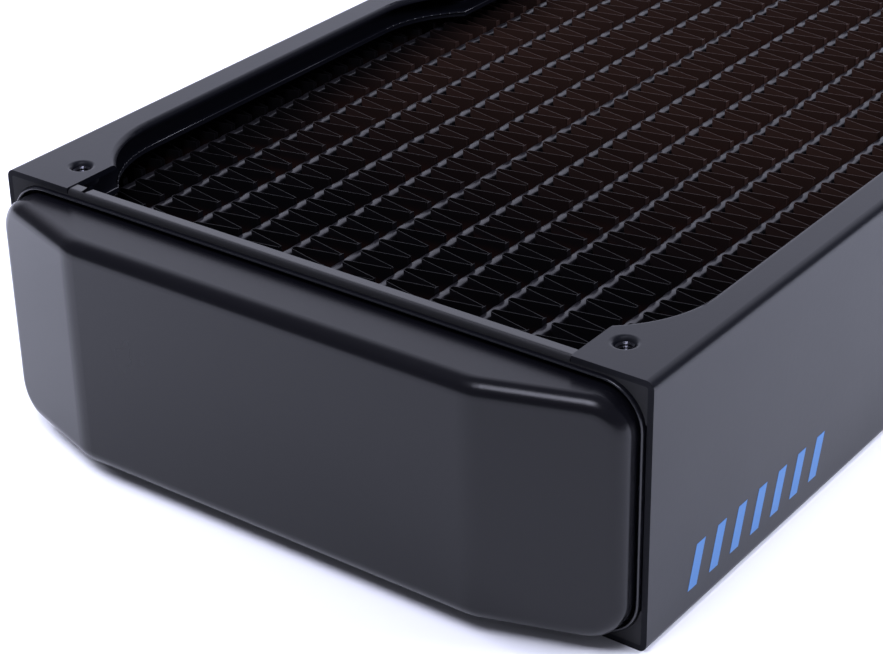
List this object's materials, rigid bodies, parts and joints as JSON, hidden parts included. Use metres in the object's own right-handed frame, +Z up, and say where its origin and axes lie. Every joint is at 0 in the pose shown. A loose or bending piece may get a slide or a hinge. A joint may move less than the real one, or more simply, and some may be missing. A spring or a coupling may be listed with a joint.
{
  "type": "liquid cooling radiator",
  "caption": "Flat liquid cooling radiator: tube and fin core between a blank end tank and a ported tank, clad in folded side panels with scalloped fan flanges.",
  "frame": {"origin": "bottom centre of the whole radiator's box, on the plane of the lower fan flanges", "axes": "+X across the width, +Y along the length from the blank return tank to the tank with the ports, +Z up out of the upper fan face"},
  "size_m": [0.124, 0.276, 0.045],
  "materials": {
    "panel_coat": "satin black powder coat on folded steel",
    "strip_coat": "satin black powder coat on folded steel",
    "guard_coat": "thin black coat on steel",
    "header_coat": "satin black coat on pressed brass",
    "tank_coat": "satin black coat on pressed brass",
    "bare_brass": "bare brass",
    "tube_coat": "flat brass tube under thin black paint",
    "fin_copper": "copper fin under a thin black mist coat",
    "boss_coat": "turned brass boss, coated black outside",
    "plug_nickel": "black nickel plated brass",
    "seal_rubber": "black rubber ring"
  },
  "bodies": {
    "root": {"end_strip_port_bottom": "strip_coat", "end_strip_port_top": "strip_coat", "end_strip_return_bottom": "strip_coat", "end_strip_return_top": "strip_coat", "fin_strip_01": "fin_copper", "fin_strip_02": "fin_copper", "fin_strip_03": "fin_copper", "fin_strip_04": "fin_copper", "fin_strip_05": "fin_copper", "fin_strip_06": "fin_copper", "fin_strip_07": "fin_copper", "fin_strip_08": "fin_copper", "fin_strip_09": "fin_copper", "fin_strip_10": "fin_copper", "fin_strip_11": "fin_copper", "fin_strip_12": "fin_copper", "fin_strip_13": "fin_copper", "header_port": "header_coat", "header_return": "header_coat", "plug_seal_bottom_left": "seal_rubber", "plug_seal_bottom_right": "seal_rubber", "plug_seal_side_left": "seal_rubber", "plug_seal_side_right": "seal_rubber", "port_boss_bottom_left": "boss_coat", "port_boss_bottom_right": "boss_coat", "port_boss_side_left": "boss_coat", "port_boss_side_right": "boss_coat", "port_boss_top_left": "boss_coat", "port_boss_top_right": "boss_coat", "port_tank": "tank_coat", "port_tank_divider": "bare_brass", "return_tank": "tank_coat", "screw_guard_bottom_left": "guard_coat", "screw_guard_bottom_right": "guard_coat", "screw_guard_top_left": "guard_coat", "screw_guard_top_right": "guard_coat", "side_panel_left": "panel_coat", "side_panel_right": "panel_coat", "stop_plug_bottom_left": "plug_nickel", "stop_plug_bottom_right": "plug_nickel", "stop_plug_side_left": "plug_nickel", "stop_plug_side_right": "plug_nickel", "tube_01": "tube_coat", "tube_02": "tube_coat", "tube_03": "tube_coat", "tube_04": "tube_coat", "tube_05": "tube_coat", "tube_06": "tube_coat", "tube_07": "tube_coat", "tube_08": "tube_coat", "tube_09": "tube_coat", "tube_10": "tube_coat", "tube_11": "tube_coat", "tube_12": "tube_coat"}
  },
  "joints": []
}
